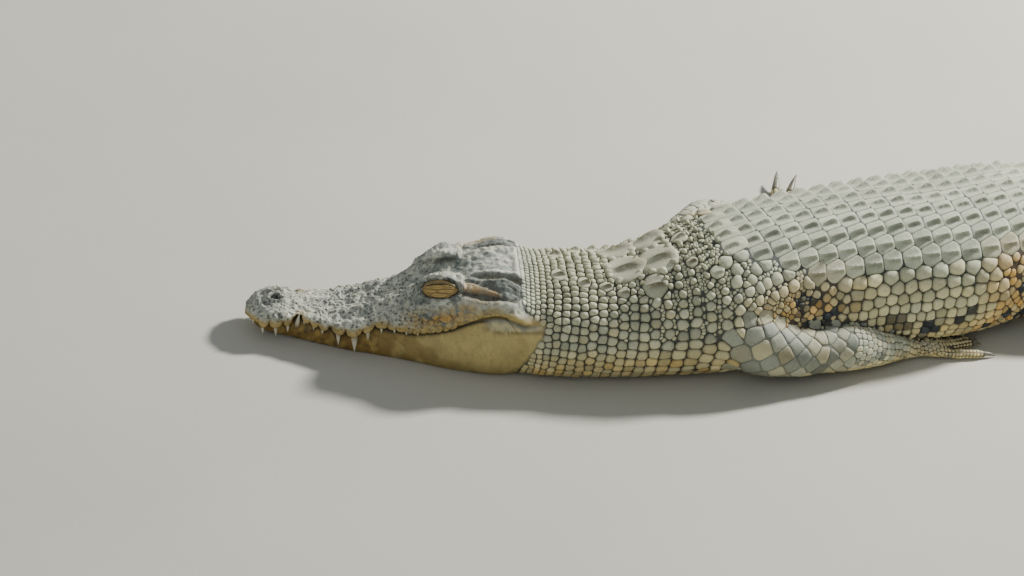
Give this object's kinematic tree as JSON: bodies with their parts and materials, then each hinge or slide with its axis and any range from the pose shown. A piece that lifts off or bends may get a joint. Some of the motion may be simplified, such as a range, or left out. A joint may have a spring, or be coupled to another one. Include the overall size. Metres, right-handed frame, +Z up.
{
  "type": "crocodile",
  "caption": "Life-size crocodile lying flat on its belly with jaws and eyes shut, near foreleg swept back, tail in a gentle curve.",
  "frame": {"origin": "centre of the bounding box, on the floor plane under the belly", "axes": "+Z up from the floor; the snout points to -X, so the animal's left side faces -Y and the tail points to +X"},
  "size_m": [1.8282, 0.594, 0.151],
  "materials": {
    "hide": "dry, dusty, scaled hide, grey-beige above with yellow-tan flanks and dark blotches",
    "pale_hide": "smooth olive-yellow skin of the lower jaw",
    "eyelid": "wrinkled amber-brown lids, shut",
    "tooth": "smooth off-white enamel, stained tan at the gum",
    "claw": "dark horn, worn, slightly glossy"
  },
  "bodies": {
    "root": {"eye_left": "eyelid", "ear_left": "hide", "eye_right": "eyelid", "ear_right": "hide", "head": "hide", "lower_jaw": "pale_hide", "neck": "hide", "chest": "hide", "belly": "hide", "hips": "hide", "tail_base": "hide", "tail_middle": "hide", "tail_rear": "hide", "tail_tip": "hide", "foreleg_left_upper": "hide", "foreleg_left_lower": "hide", "hand_left": "hide", "claw_hand_left_1": "claw", "claw_hand_left_2": "claw", "claw_hand_left_3": "claw", "foreleg_right_upper": "hide", "foreleg_right_lower": "hide", "hand_right": "hide", "claw_hand_right_1": "claw", "claw_hand_right_2": "claw", "claw_hand_right_3": "claw", "hindleg_left_upper": "hide", "hindleg_left_lower": "hide", "foot_left": "hide", "claw_foot_left_1": "claw", "claw_foot_left_2": "claw", "claw_foot_left_3": "claw", "hindleg_right_upper": "hide", "hindleg_right_lower": "hide", "foot_right": "hide", "claw_foot_right_1": "claw", "claw_foot_right_2": "claw", "claw_foot_right_3": "claw"}
  },
  "joints": []
}
